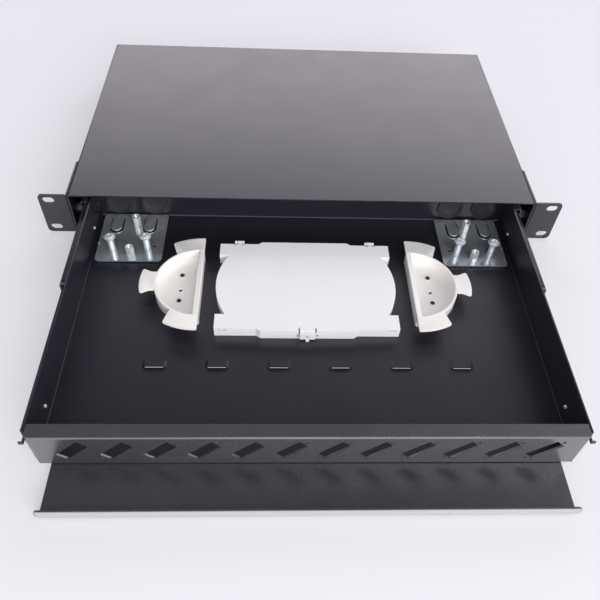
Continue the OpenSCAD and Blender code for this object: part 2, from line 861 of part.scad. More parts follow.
module splice_tray_base() {
    c = tray_c;
    color(abs_white) pulled() translate([c[0], c[1], 0]) difference() {
        union() {
            translate([0, 0, splice_z]) linear_extrude(lid_z - splice_z - 0.05) splice_outline(0);
            for (x = knuckle_xs, s = [-1, 1])
                translate([x + s * (knuckle_w / 2 + 0.3 + lug_w / 2), 0, 0]) hinge_lug(lug_w);
            // catch for the cover's tongue, and the stop below it
            translate([-4, splice_front - bulge_y - 0.7, lid_z - 2.4]) cube([8, 1.5, 1]);
            translate([-1.4, splice_front - bulge_y - 3.6, splice_z + 0.2]) cube([2.8, 4.5, 1.2]);
        }
        translate([0, 0, splice_z + 1.5]) linear_extrude(splice_h) splice_outline(splice_wall);
        for (x = knuckle_xs) rod_x(hinge_y, hinge_z, pin_r + 0.02, x - 6, x + 6);
        for (x = [-40, 40]) translate([x, 0, splice_z - 1]) cylinder(r = 1.6, h = 4);
        // openings beside the tongue, and fibre entries beside the rear corners
        for (s = [-1, 1]) translate([s * 8 - 1, splice_front - bulge_y - 1, lid_z - 3.4]) cube([2, 3, 2.6]);
        for (s = [-1, 1]) translate([s * 69 - 4, splice_rear - 4, splice_z + 1.5])
            cube([8, 8, lid_z - splice_z]);
    }
}

// One lug of the base's hinge, standing at the rear wall
module hinge_lug(w) {
    translate([-w / 2, splice_rear - 1, splice_z]) cube([w, hinge_y - splice_rear + 1, hinge_z - splice_z]);
    rod_x(hinge_y, hinge_z, hinge_r, -w / 2, w / 2);
}

module splice_tray_cover() {
    c = tray_c;
    color(abs_white) pulled() translate([c[0], c[1], 0])
        translate([0, hinge_y, hinge_z]) rotate([-cover_angle, 0, 0]) translate([0, -hinge_y, -hinge_z]) {
            difference() {
                translate([0, 0, lid_z]) linear_extrude(lid_h) splice_outline(0);
                translate([0, 0, lid_z - 1]) linear_extrude(lid_h - lid_t + 1) splice_outline(splice_wall);
                // room for the base's lugs
                for (x = knuckle_xs, s = [-1, 1])
                    translate([x + s * (knuckle_w / 2 + 0.3 + lug_w / 2) - lug_w / 2 - 0.2,
                        splice_rear - 1.4, lid_z - 1]) cube([lug_w + 0.4, 4, lid_h + 2]);
                // slots that free the tongue
                for (s = [-1, 1]) translate([s * 6.9 - 0.5, splice_front - bulge_y - 1, lid_z - 1])
                    cube([1, 5, lid_h + 2]);
                // tie holes in the front corners
                for (s = [-1, 1], x = [68, 72.5])
                    translate([s * x - 1.2, splice_front - 1, lid_z + 0.6]) cube([2.4, 4, 1.4]);
            }
            for (x = knuckle_xs) difference() {
                union() {
                    rod_x(hinge_y, hinge_z, hinge_r, x - knuckle_w / 2, x + knuckle_w / 2);
                    translate([x - knuckle_w / 2, splice_rear - 1, lid_z + 0.1])
                        cube([knuckle_w, hinge_y - splice_rear + 1, 3]);
                }
                rod_x(hinge_y, hinge_z, pin_r + 0.06, x - knuckle_w, x + knuckle_w);
            }
            // snap tongue at the front, with a window for the catch
            difference() {
                translate([-6.3, splice_front - bulge_y - 2.4, lid_z - 4.2]) cube([12.6, 1.2, 7.6]);
                translate([-1.4, splice_front - bulge_y - 3, lid_z - 2.6]) cube([2.8, 3, 2.4]);
            }
            translate([-6.3, splice_front - bulge_y - 1.3, lid_z + 1.4]) cube([12.6, 2, 2]);
        }
}

module splice_hinge_pins() {
    reach = knuckle_w / 2 + 0.3 + lug_w;
    color(zinc) pulled() translate([tray_c[0], tray_c[1], 0]) for (x = knuckle_xs)
        rod_x(hinge_y, hinge_z, pin_r, x - reach, x + reach);
}

// Two combs whose ribs grip the splice sleeves
module splice_holders() {
    teeth = 7;
    pitch = 3.6;
    comb_l = 24;
    color(abs_white) pulled() translate([tray_c[0], tray_c[1], splice_z + 1.5])
        for (s = [-1, 1]) translate([s * 16 - comb_l / 2, -10.8, 0]) {
            cube([comb_l, (teeth - 1) * pitch + 1.2, 1]);
            for (n = [0:teeth - 1]) translate([0, n * pitch, 0]) cube([comb_l, 1.2, 5]);
        }
}

module splice_tray_screws() {
    color(zinc) pulled() for (x = [-40, 40]) translate([x, tray_c[1], 0]) {
        translate([0, 0, floor_z]) cylinder(r = 1.3, h = splice_z + 1.5 - floor_z + eps);
        difference() {
            translate([0, 0, splice_z + 1.5]) cylinder(r = 3, h = 1.6);
            translate([-2, -0.4, splice_z + 2.4]) cube([4, 0.8, 1]);
        }
    }
}

// ---------- rear cable entries ----------

module entry_plug(x) {
    color(plug_black) pulled() difference() {
        union() {
            rod_y(x, entry_z, entry_r - 0.3, rear_in - 1.6, drawer_d + 0.2);
            rod_y(x, entry_z, entry_r + 1.4, drawer_d + 0.1, drawer_d + 1.9);
        }
        // shallow recess in the inner face
        rod_y(x, entry_z, entry_r - 2.2, rear_in - 2.6, rear_in - 0.4);
        // hollow back
        rod_y(x, entry_z, entry_r - 2, rear_in + 1.2, drawer_d + 3);
    }
}

module entry_plug_1() {
    entry_plug(entry_xs[0]);
}

module entry_plug_2() {
    entry_plug(entry_xs[1]);
}

module entry_plug_3() {
    entry_plug(entry_xs[2]);
}

module entry_plug_4() {
    entry_plug(entry_xs[3]);
}

shell_cover();
shell_base();
cover_screws();
left_rack_ear();
right_rack_ear();
ear_screws();
left_slide_outer();
right_slide_outer();
slide_spacers();
slide_outer_screws();
left_slide_middle();
right_slide_middle();
left_slide_bumper();
right_slide_bumper();
left_outer_ball_cage();
right_outer_ball_cage();
left_inner_ball_cage();
right_inner_ball_cage();
drawer_pan();
adapter_panel();
front_cable_tray();
marking_strip();
left_slide_inner();
right_slide_inner();
drawer_slide_screws();
left_clamp_plate();
right_clamp_plate();
left_tall_posts();
right_tall_posts();
left_clamp_washers();
right_clamp_washers();
left_clamp_screws();
right_clamp_screws();
left_short_posts();
right_short_posts();
plate_spacers();
left_fiber_spool();
right_fiber_spool();
spool_screws();
splice_tray_base();
splice_holders();
splice_tray_screws();
splice_hinge_pins();
splice_tray_cover();
entry_plug_1();
entry_plug_2();
entry_plug_3();
entry_plug_4();
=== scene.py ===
"""Looks of a rack-mount fibre termination box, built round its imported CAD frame. Metres, +Z up."""
import json
import math

import bmesh
import bpy
from mathutils import Matrix, Vector


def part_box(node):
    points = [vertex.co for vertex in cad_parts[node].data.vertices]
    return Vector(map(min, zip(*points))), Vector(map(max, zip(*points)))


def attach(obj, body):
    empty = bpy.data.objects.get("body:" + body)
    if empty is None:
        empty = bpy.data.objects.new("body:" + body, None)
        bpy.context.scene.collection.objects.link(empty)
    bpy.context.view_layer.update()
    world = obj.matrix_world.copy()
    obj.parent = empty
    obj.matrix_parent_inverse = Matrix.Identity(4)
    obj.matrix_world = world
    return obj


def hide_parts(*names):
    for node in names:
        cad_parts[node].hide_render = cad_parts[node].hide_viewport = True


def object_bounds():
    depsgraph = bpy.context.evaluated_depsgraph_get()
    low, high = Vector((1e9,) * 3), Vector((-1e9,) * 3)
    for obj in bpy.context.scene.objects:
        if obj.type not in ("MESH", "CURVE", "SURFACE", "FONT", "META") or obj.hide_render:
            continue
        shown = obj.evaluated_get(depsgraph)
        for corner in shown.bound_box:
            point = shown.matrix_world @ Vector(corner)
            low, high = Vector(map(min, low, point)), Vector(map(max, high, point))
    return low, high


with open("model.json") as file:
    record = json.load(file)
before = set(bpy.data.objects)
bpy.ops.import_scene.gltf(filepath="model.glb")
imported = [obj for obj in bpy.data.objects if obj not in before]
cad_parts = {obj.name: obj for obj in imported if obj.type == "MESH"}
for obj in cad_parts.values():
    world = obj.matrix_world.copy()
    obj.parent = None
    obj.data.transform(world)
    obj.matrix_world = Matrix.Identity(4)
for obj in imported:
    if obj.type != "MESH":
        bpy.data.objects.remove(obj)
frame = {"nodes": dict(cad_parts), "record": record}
CAD_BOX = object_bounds()
NODES = frame["nodes"]
MM = 0.001


# ---------- camera, floor and light ----------

CAMERA_AT = Vector((-0.0276, -0.4478, 0.4220))
CAMERA_YAW = 4.37               # degrees to the right of straight back
CAMERA_PITCH = 50.09            # degrees below level
CAMERA_ROLL = 3.86
CAMERA_LENS = 37.92             # millimetres, on a sensor of this width
CAMERA_SENSOR = 36
CAMERA_SHIFT = (-0.0085, 0.0180)
CAMERA_NEAR = 0.01

FLOOR_SIZE = 40
FLOOR_GAP = 0.0002              # below the lowest point of the object
FLOOR_COLOUR = (0.50, 0.495, 0.52, 1)
FLOOR_GLOW_COLOUR = (0.96, 0.95, 1.0, 1)
FLOOR_GLOW = 0.38

SKY_UP = (-0.25, 0.1, 1)        # the sky darkens in this direction
SKY_LOW = (0.18, (0.98, 0.98, 1.0, 1))
SKY_HIGH = (0.85, (0.115, 0.115, 0.14, 1))

WHITE = (1, 1, 1)
ORIGIN = (0, 0, 0)
# name, place, aim, size, watts, colour, whether it shows in gloss
SOFT_BOXES = [
    ("back_softbox", (0.35, 2.7, 1.35), (0.1, 0.1, 0), (4.6, 1.25), 53, (1, 0.93, 1), True),
    ("glint_softbox", (0.35, -1.2, 1.3), ORIGIN, (1.6, 0.2), 3.5, WHITE, True),
    ("key_softbox", (-0.1, -1.6, 2.2), ORIGIN, (2.4, 1.8), 18, WHITE, False),
    ("front_softbox", (0.9, -2.1, 0.7), (0, 0, 0.02), (2.0, 0.8), 42, WHITE, False),
]


def make_camera():
    """The camera looks down into the drawer from the front, a little from the left."""
    yaw, pitch, roll = (math.radians(a) for a in (CAMERA_YAW, CAMERA_PITCH, CAMERA_ROLL))
    ahead = math.cos(pitch)
    forward = Vector((math.sin(yaw) * ahead, math.cos(yaw) * ahead, -math.sin(pitch)))
    level = Vector((math.cos(yaw), -math.sin(yaw), 0))
    upright = level.cross(forward)
    right = level * math.cos(roll) + upright * math.sin(roll)
    up = upright * math.cos(roll) - level * math.sin(roll)
    data = bpy.data.cameras.new("camera")
    data.lens = CAMERA_LENS
    data.sensor_width = CAMERA_SENSOR
    data.shift_x, data.shift_y = CAMERA_SHIFT
    data.clip_start = CAMERA_NEAR
    camera = bpy.data.objects.new("camera", data)
    axes = Matrix((right, up, -forward)).transposed()
    camera.matrix_world = Matrix.Translation(CAMERA_AT) @ axes.to_4x4()
    bpy.context.scene.collection.objects.link(camera)
    bpy.context.scene.camera = camera


def area_light(name, at, aim, size, power, colour, in_gloss):
    """A rectangular soft box that points from its place to its aim."""
    data = bpy.data.lights.new(name, "AREA")
    data.shape = "RECTANGLE"
    data.size, data.size_y = size
    data.energy = power
    data.color = colour
    light = bpy.data.objects.new(name, data)
    light.location = at
    light.rotation_euler = (Vector(aim) - Vector(at)).to_track_quat("-Z", "Y").to_euler()
    light.visible_glossy = in_gloss
    bpy.context.scene.collection.objects.link(light)


def make_floor():
    """A pale matt floor with a faint glow, so that shadows on it stay light."""
    bpy.ops.mesh.primitive_plane_add(size=FLOOR_SIZE, location=(0, 0, CAD_BOX[0][2] - FLOOR_GAP))
    floor = bpy.context.object
    floor.name = "floor"
    material = bpy.data.materials.new("pale_floor")
    material.use_nodes = True
    shader = material.node_tree.nodes["Principled BSDF"]
    shader.inputs["Base Color"].default_value = FLOOR_COLOUR
    shader.inputs["Roughness"].default_value = 0.9
    shader.inputs["Specular IOR Level"].default_value = 0.1
    shader.inputs["Emission Color"].default_value = FLOOR_GLOW_COLOUR
    shader.inputs["Emission Strength"].default_value = FLOOR_GLOW
    floor.data.materials.append(material)


def make_sky():
    """A sky that is brightest low down and to the right."""
    world = bpy.data.worlds.new("sky")
    bpy.context.scene.world = world
    world.use_nodes = True
    nodes, links = world.node_tree.nodes, world.node_tree.links
    height = nodes.new("ShaderNodeVectorMath")
    height.operation = "DOT_PRODUCT"
    height.inputs[1].default_value = SKY_UP
    links.new(nodes.new("ShaderNodeTexCoord").outputs["Generated"], height.inputs[0])
    ramp = nodes.new("ShaderNodeValToRGB")
    for stop, (position, colour) in zip(ramp.color_ramp.elements, (SKY_LOW, SKY_HIGH)):
        stop.position = position
        stop.color = colour
    links.new(height.outputs["Value"], ramp.inputs["Fac"])
    sky = nodes["Background"]
    links.new(ramp.outputs["Color"], sky.inputs["Color"])
    sky.inputs["Strength"].default_value = 1.0


def make_stage():
    """The floor, the sky and the soft boxes."""
    make_floor()
    make_sky()
    for soft_box in SOFT_BOXES:
        area_light(*soft_box)
    bpy.context.scene.view_settings.view_transform = "Standard"


# ---------- materials ----------


class Paint:
    """A material whose shader inputs are fed by a few procedural nodes in object space."""

    def __init__(self, name, colour, roughness, metallic=0.0):
        self.material = bpy.data.materials.new(name)
        self.material.use_nodes = True
        self.tree = self.material.node_tree
        self.shader = self.tree.nodes["Principled BSDF"]
        self.place = self.tree.nodes.new("ShaderNodeTexCoord").outputs["Object"]
        self.shader.inputs["Base Color"].default_value = (*colour, 1)
        self.shader.inputs["Roughness"].default_value = roughness
        self.shader.inputs["Metallic"].default_value = metallic
        self.height = None

    def node(self, kind, **values):
        """A new node with these properties, or else these input values."""
        node = self.tree.nodes.new(kind)
        for key, value in values.items():
            if hasattr(node, key):
                setattr(node, key, value)
            else:
                node.inputs[key.replace("_", " ")].default_value = value
        return node

    def noise(self, scale, detail=2.0, roughness=0.5, stretch=(1, 1, 1)):
        """Noise with this many features to a metre, drawn out where stretch is below 1."""
        mapping = self.node("ShaderNodeMapping")
        mapping.inputs["Scale"].default_value = stretch
        self.tree.links.new(self.place, mapping.inputs["Vector"])
        noise = self.node("ShaderNodeTexNoise", Scale=scale, Detail=detail, Roughness=roughness)
        self.tree.links.new(mapping.outputs["Vector"], noise.inputs["Vector"])
        return noise.outputs["Fac"]

    def ramp(self, value, low, high, colour_low, colour_high):
        """A colour that goes from one to the other as the value goes from low to high."""
        ramp = self.tree.nodes.new("ShaderNodeValToRGB")
        stops = ((low, colour_low), (high, colour_high))
        for stop, (position, colour) in zip(ramp.color_ramp.elements, stops):
            stop.position = position
            stop.color = (*colour, 1)
        self.tree.links.new(value, ramp.inputs["Fac"])
        return ramp.outputs["Color"]

    def span(self, value, low, high):
        """The noise value, mostly 0.3 to 0.7, spread over low to high."""
        node = self.node("ShaderNodeMapRange", From_Min=0.3, From_Max=0.7, To_Min=low, To_Max=high)
        self.tree.links.new(value, node.inputs["Value"])
        return node.outputs["Result"]

    def colour(self, value):
        self.tree.links.new(value, self.shader.inputs["Base Color"])

    def roughness(self, value):
        self.tree.links.new(value, self.shader.inputs["Roughness"])

    def bump(self, value, depth, strength=1.0):
        """Adds a relief of this depth in metres to the ones already there."""
        bump = self.node("ShaderNodeBump", Strength=strength, Distance=depth)
        self.tree.links.new(value, bump.inputs["Height"])
        if self.height is not None:
            self.tree.links.new(self.height, bump.inputs["Normal"])
        self.height = bump.outputs["Normal"]
        self.tree.links.new(self.height, self.shader.inputs["Normal"])


def powder_coat():
    """Satin black powder coat: a fine orange-peel grain and a few pale specks of dust."""
    paint = Paint("powder_coat", (0.012, 0.012, 0.020), 0.35)
    dust = paint.noise(420, 2, 0.4)
    paint.colour(paint.ramp(dust, 0.76, 0.84, (0.0115, 0.0115, 0.0195), (0.045, 0.045, 0.052)))
    paint.roughness(paint.span(paint.noise(26, 4, 0.6), 0.33, 0.37))
    paint.bump(paint.noise(1500, 2), 0.00003, 0.40)
    paint.bump(paint.noise(420, 1), 0.00005, 0.22)
    paint.shader.inputs["IOR"].default_value = 1.7
    return paint.material


def panel_coat():
    """The adapter panel's coat, smoother and glossier than the powder coat, and lighter in colour as
    painted sheen.
    """
    # the base colours, lighter than the powder coat's, are painted sheen on the panel's face
    paint = Paint("panel_coat", (0.032, 0.031, 0.037), 0.28)
    cloud = paint.noise(30, 3)
    paint.colour(paint.ramp(cloud, 0.3, 0.7, (0.029, 0.028, 0.034), (0.035, 0.034, 0.040)))
    paint.roughness(paint.span(paint.noise(45, 4, 0.6), 0.24, 0.29))
    paint.bump(paint.noise(1500, 2), 0.00002, 0.10)
    paint.shader.inputs["IOR"].default_value = 2.9
    return paint.material


def slide_coat():
    """Black plated slide steel, rubbed along its length."""
    paint = Paint("slide_coat", (0.022, 0.022, 0.025), 0.30)
    rub = paint.noise(260, 3, 0.6, (1, 0.035, 1))
    paint.colour(paint.ramp(rub, 0.45, 0.74, (0.018, 0.018, 0.020), (0.10, 0.10, 0.105)))
    paint.roughness(paint.span(rub, 0.26, 0.40))
    paint.bump(paint.noise(900, 2), 0.00002, 0.4)
    return paint.material


def bright_zinc(name, stretch, tint, polish=0.10, metallic=1.0):
    """Blue-passivated zinc: faint clouds of tint, fine grain, and wipe marks in the gloss."""
    paint = Paint(name, tint, 0.22, metallic)
    blue = tuple(c * k for c, k in zip(tint, (0.86, 0.93, 1.0)))
    paint.colour(paint.ramp(paint.noise(75, 4, 0.6), 0.38, 0.66, blue, tint))
    paint.roughness(paint.span(paint.noise(120, 5, 0.65), polish, polish + 0.14))
    paint.bump(paint.noise(480, 3, 0.6, stretch), 0.00002, 0.30)
    paint.bump(paint.noise(40, 2), 0.0005, 0.10)
    return paint.material


def moulded_plastic(name, light, dark, roughness):
    """Moulded plastic: a fine spark grain, slow colour change and handling marks in the gloss."""
    paint = Paint(name, light, roughness)
    paint.colour(paint.ramp(paint.noise(16, 3), 0.35, 0.65, dark, light))
    paint.roughness(paint.span(paint.noise(90, 3), roughness - 0.05, roughness + 0.06))
    paint.bump(paint.noise(900, 2), 0.00003, 0.35)
    paint.shader.inputs["Subsurface Weight"].default_value = 0.04
    paint.shader.inputs["Subsurface Radius"].default_value = (0.001, 0.001, 0.001)
    return paint.material


def black_oxide():
    """Blackened steel that is rubbed brighter in places."""
    paint = Paint("black_oxide", (0.045, 0.045, 0.047), 0.38, 0.6)
    rub = paint.noise(700, 3)
    paint.colour(paint.ramp(rub, 0.4, 0.7, (0.03, 0.03, 0.032), (0.12, 0.12, 0.125)))
    paint.bump(paint.noise(1500, 2), 0.00002, 0.4)
    return paint.material


def strip_with_painted_reflection():
    """A satin strip whose light grey colour is painted reflection, with a faint grain along it."""
    # the light grey colours here are painted reflection of glare on the lip's face
    paint = Paint("strip_with_painted_reflection", (0.40, 0.378, 0.392), 0.30)
    grain = paint.noise(300, 4, 0.6, (0.03, 1, 1))
    paint.colour(paint.ramp(grain, 0.3, 0.7, (0.37, 0.35, 0.365), (0.43, 0.407, 0.42)))
    paint.roughness(paint.span(paint.noise(60, 3), 0.26, 0.38))
    paint.bump(grain, 0.00001, 0.3)
    return paint.material


# slot: name, stretch of the grain, tint, polish, metallic
ZINCS = {
    "ball_cages": ("ball_steel", (1, 1, 1), (0.62, 0.62, 0.63)),
    "zinc_plate": ("zinc_plate", (1, 0.06, 1), (0.80, 0.81, 0.81), 0.09, 0.82),
    "zinc_fasteners": ("zinc_fastener", (0.15, 0.15, 1), (0.90, 0.905, 0.92), 0.11, 0.62),
}
# slot: name, lighter and darker colour, roughness
PLASTICS = {
    "bumper_plastic": ("bumper_grey", (0.11, 0.11, 0.115), (0.085, 0.085, 0.09), 0.42),
    "plug_plastic": ("plug_black", (0.030, 0.030, 0.034), (0.022, 0.022, 0.025), 0.42),
    "tray_plastic": ("abs_white", (0.88, 0.88, 0.90), (0.865, 0.865, 0.89), 0.36),
    "spool_plastic": ("spool_white", (0.89, 0.86, 0.835), (0.86, 0.83, 0.80), 0.40),
}


def make_materials():
    """One material for each slot of the record."""
    made = {
        "powder_coat": powder_coat(),
        "panel_coat": panel_coat(),
        "slide_steel": slide_coat(),
        "strip_grey": strip_with_painted_reflection(),
        "black_screws": black_oxide(),
    }
    made.update((slot, bright_zinc(*recipe)) for slot, recipe in ZINCS.items())
    made.update((slot, moulded_plastic(*recipe)) for slot, recipe in PLASTICS.items())
    return made


# ---------- shapes, built in millimetres ----------


def ring(radius, height, count=48):
    """A circle of points round Z, counter-clockwise."""
    turn = math.tau / count
    angles = [i * turn for i in range(count)]
    return [Vector((radius * math.cos(a), radius * math.sin(a), height)) for a in angles]


def flat(outline, height):
    """The outline as a loop of points at this height."""
    return [Vector((p[0], p[1], height)) for p in outline]


def skin(mesh, loops, closed=False):
    """Joins loops of equally many points. The ends are filled, or when closed joined together."""
    rows = [[mesh.verts.new(p) for p in loop] for loop in loops]
    if closed:
        rows.append(rows[0])
    for low, high in zip(rows, rows[1:]):
        for i in range(len(low)):
            j = (i + 1) % len(low)
            mesh.faces.new((low[i], low[j], high[j], high[i]))
    if not closed:
        mesh.faces.new(list(reversed(rows[0])))
        mesh.faces.new(rows[-1])
    return mesh


def turned(profile, count=48):
    """A solid turned round Z from (radius, height) points that run from the bottom to the top."""
    return skin(bmesh.new(), [ring(r, h, count) for r, h in profile])


def inset(outline, depth):
    """A counter-clockwise outline moved inwards by this depth."""
    moved = []
    for i, point in enumerate(outline):
        before = (point - outline[i - 1]).normalized()
        after = (outline[(i + 1) % len(outline)] - point).normalized()
        normal = Vector((-before.y - after.y, before.x + after.x))
        moved.append(point + normal * depth / max(0.5, 1 + before.dot(after)))
    return moved


def rounded(corners, steps=6):
    """A counter-clockwise outline from (x, y, corner radius) points."""
    outline = []
    places = [Vector(c[:2]) for c in corners]
    for i, (place, corner) in enumerate(zip(places, corners)):
        radius = corner[2]
        if radius == 0:
            outline.append(place)
            continue
        back = (places[i - 1] - place).normalized()
        ahead = (places[(i + 1) % len(places)] - place).normalized()
        half = back.angle(ahead) / 2
        centre = place + (back + ahead).normalized() * radius / math.sin(half)
        start = place + back * radius / math.tan(half) - centre
        end = place + ahead * radius / math.tan(half) - centre
        turn = math.atan2(start.cross(end), start.dot(end))
        for k in range(steps + 1):
            angle = turn * k / steps
            outline.append(centre + Matrix.Rotation(angle, 2) @ start)
    return outline


def slab(outline, low, high, edge):
    """A plate of this outline whose top and bottom edges are rounded."""
    steps = [(1, 0), (0.29, 0.29), (0, 1)]
    loops = [flat(inset(outline, edge * d), low + edge * h) for d, h in steps]
    loops += [flat(inset(outline, edge * d), high - edge * h) for d, h in reversed(steps)]
    return skin(bmesh.new(), loops)


def as_mesh(form):
    """The finished mesh data of a form."""
    bmesh.ops.recalc_face_normals(form, faces=form.faces)
    data = bpy.data.meshes.new("form")
    form.to_mesh(data)
    form.free()
    return data


def combined(body, tools, operation):
    """The body joined with the tools (UNION) or cut by them (DIFFERENCE)."""
    objects = [bpy.data.objects.new("form", as_mesh(form)) for form in [body, *tools]]
    for form in objects:
        bpy.context.scene.collection.objects.link(form)
    for tool in objects[1:]:
        modifier = objects[0].modifiers.new("combine", "BOOLEAN")
        modifier.operation = operation
        modifier.solver = "EXACT"
        modifier.object = tool
    scene = bpy.context.evaluated_depsgraph_get()
    result = bmesh.new()
    result.from_mesh(objects[0].evaluated_get(scene).to_mesh())
    for form in objects:
        bpy.data.objects.remove(form)
    return result


def moved(form, matrix):
    """The form itself, moved by the matrix."""
    bmesh.ops.transform(form, matrix=matrix, verts=form.verts)
    return form


def standing(form, low, high):
    """The form, moved from the origin to the middle of a box's floor."""
    place = Matrix.Translation(((low.x + high.x) / 2, (low.y + high.y) / 2, low.z))
    return moved(form, place)


def gathered(forms):
    """Several separate forms in one mesh."""
    whole = bmesh.new()
    for form in forms:
        whole.from_mesh(as_mesh(form))
    return whole


# ---------- pieces ----------

SLOTS = {s["node"]: s["material_slot"] for s in frame["record"]["subparts"]}
BODIES = {}
for body_name, members in frame["record"]["behaviour"]["bodies"].items():
    for member in members:
        BODIES[member] = body_name


def box_mm(node):
    """A node's lowest and highest corners in millimetres."""
    return [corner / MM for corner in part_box(node)]


def piece(node, form, sharp=35):
    """Turns a form in millimetres into the piece that stands for one CAD node."""
    data = as_mesh(moved(form, Matrix.Scale(MM, 4)))
    data.shade_smooth()
    data.set_sharp_from_angle(angle=math.radians(sharp))
    data.materials.append(MATERIALS[SLOTS[node]])
    made = bpy.data.objects.new(node + "_detail", data)
    data.name = made.name
    bpy.context.scene.collection.objects.link(made)
    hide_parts(node)
    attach(made, BODIES[node])
    return made


def islands(node):
    """The box in millimetres of each separate solid of a CAD node."""
    mesh = bmesh.new()
    mesh.from_mesh(NODES[node].data)
    bmesh.ops.remove_doubles(mesh, verts=mesh.verts, dist=0.000001)
    seen = set()
    boxes = []
    for start in mesh.verts:
        if start in seen:
            continue
        seen.add(start)
        group = [start]
        for vertex in group:
            for edge in vertex.link_edges:
                other = edge.other_vert(vertex)
                if other not in seen:
                    seen.add(other)
                    group.append(other)
        low = Vector([min(v.co[k] for v in group) for k in range(3)]) / MM
        high = Vector([max(v.co[k] for v in group) for k in range(3)]) / MM
        boxes.append((low, high))
    mesh.free()
    return boxes


# Screws

THREAD_PITCH = 0.5


def cross_tool(arm, width, top, depth):
    """A tapered cross that cuts a driver's recess."""
    loops = []
    for share, height in ((1.0, top + 0.2), (0.96, top - 0.15 * depth), (0.5, top - depth)):
        a, w = arm * share, width / 2 * (0.4 + 0.6 * share)
        corner = [(a, -w), (a, w), (w, w), (w, a), (-w, a), (-w, w), (-a, w), (-a, -w)]
        loops.append(flat(corner + [(-w, -w), (-w, -a), (w, -a), (w, -w)], height))
    return skin(bmesh.new(), loops)


def pan_screw(head_r, head_h, shank_r, length):
    """A pan-head screw along Z whose head stands on z = 0 and whose thread runs down."""
    profile = [(shank_r * 0.5, -length), (shank_r * 0.85, -length + 0.3)]
    turns = int((length - 0.6) / THREAD_PITCH)
    for n in range(turns):
        base = -length + 0.4 + n * THREAD_PITCH
        profile += [(shank_r * 0.86, base), (shank_r, base + THREAD_PITCH * 0.45)]
    profile += [(shank_r * 0.9, -0.1), (shank_r * 0.9, 0), (head_r - 0.12, 0), (head_r, 0.12)]
    dome = [(1.0, 0.42), (0.97, 0.62), (0.90, 0.80), (0.76, 0.93), (0.55, 0.99), (0.2, 1.0)]
    profile += [(head_r * r, head_h * h) for r, h in dome]
    recess = cross_tool(head_r * 0.58, head_r * 0.26, head_h, head_h * 0.7)
    return combined(turned(profile, 32), [recess], "DIFFERENCE")


def make_screws(node, axis, outward, head_h, shank_r):
    """One piece with a detailed screw in the place of each plain one of the node."""
    forms = []
    for low, high in islands(node):
        size = high - low
        across = [size[k] for k in range(3) if k != axis]
        head_r = max(across) / 2
        side = outward if axis == 2 else math.copysign(outward, low[axis] + high[axis])
        seat = (low + high) / 2
        seat[axis] = (high if side > 0 else low)[axis] - side * head_h
        aim = Vector([side if k == axis else 0 for k in range(3)])
        turn = aim.to_track_quat("Z", "Y").to_matrix().to_4x4()
        screw = pan_screw(head_r, head_h, shank_r, size[axis] - head_h)
        spin = Matrix.Rotation(0.7 * len(forms), 4, "Z")
        forms.append(moved(screw, Matrix.Translation(seat) @ turn @ spin))
    piece(node, gathered(forms), 30)


# Serrated washers

WASHER_BORE = 1.7
WASHER_TEETH = 20


def serrated_washer(bore, radius, thick):
    """A washer round Z with sharp radial teeth on its upper face."""
    per_tooth = 6
    points = per_tooth * WASHER_TEETH

    def level(r, height, bite):
        loop = ring(r, height, points)
        for i, point in enumerate(loop):
            point.z -= bite * abs(2 * (i % per_tooth) / per_tooth - 1)
        return loop

    rows = [(bore, 0.1, 0), (bore + 0.1, 0, 0), (radius - 0.15, 0, 0), (radius, 0.15, 0)]
    rows += [(radius, thick - 0.1, 0.3), (radius - 0.15, thick, 0.36), (radius - 1.3, thick, 0.12)]
    rows += [(radius - 1.5, thick, 0), (bore + 0.15, thick, 0), (bore, thick - 0.1, 0)]
    return skin(bmesh.new(), [level(*row) for row in rows], closed=True)


def make_washers(node):
    """A serrated washer in the place of each plain one of the node."""
    forms = []
    for low, high in islands(node):
        washer = serrated_washer(WASHER_BORE, (high.x - low.x) / 2, high.z - low.z)
        forms.append(standing(washer, low, high))
    piece(node, gathered(forms), 20)


# Posts of the clamp plates

TALL_SHAFT = 14.5       # length above the clamp plate
SHORT_SHAFT = 10.5
STUD = 2                # radius of the thread below the shaft


def make_tall_posts(node):
    """Turned posts with a collar groove, a chamfered head and a threaded stud."""
    forms = []
    for low, high in islands(node):
        radius = (high.x - low.x) / 2
        foot = high.z - low.z - TALL_SHAFT
        top = high.z - low.z
        profile = [(1.3, 0), (1.5, 0.3), (STUD - 0.3, 0.5)]
        for n in range(6):
            profile += [(STUD - 0.3, 0.6 + n * 0.45), (STUD, 0.8 + n * 0.45)]
        profile += [(STUD, foot), (radius - 0.3, foot), (radius, foot + 0.3), (radius, foot + 1.6)]
        profile += [(radius - 0.35, foot + 1.8), (radius - 0.35, foot + 2.4), (radius, foot + 2.6)]
        profile += [(radius, top - 0.4), (radius - 0.4, top), (2.1, top), (1.7, top - 0.4)]
        profile.append((1.7, top - 5))
        forms.append(standing(turned(profile), low, high))
    piece(node, gathered(forms), 30)


POST_POINTS = 72        # points in each loop of a short post


def hexagon(corner, limit, height):
    """A hexagonal loop whose corners are cut back to a circle of the limit's radius."""
    loop = ring(1, height, POST_POINTS)
    for point in loop:
        angle = (math.atan2(point.y, point.x) + math.tau) % (math.pi / 3) - math.pi / 6
        reach = min(corner * math.cos(math.pi / 6) / math.cos(angle), limit)
        point.x *= reach
        point.y *= reach
    return loop


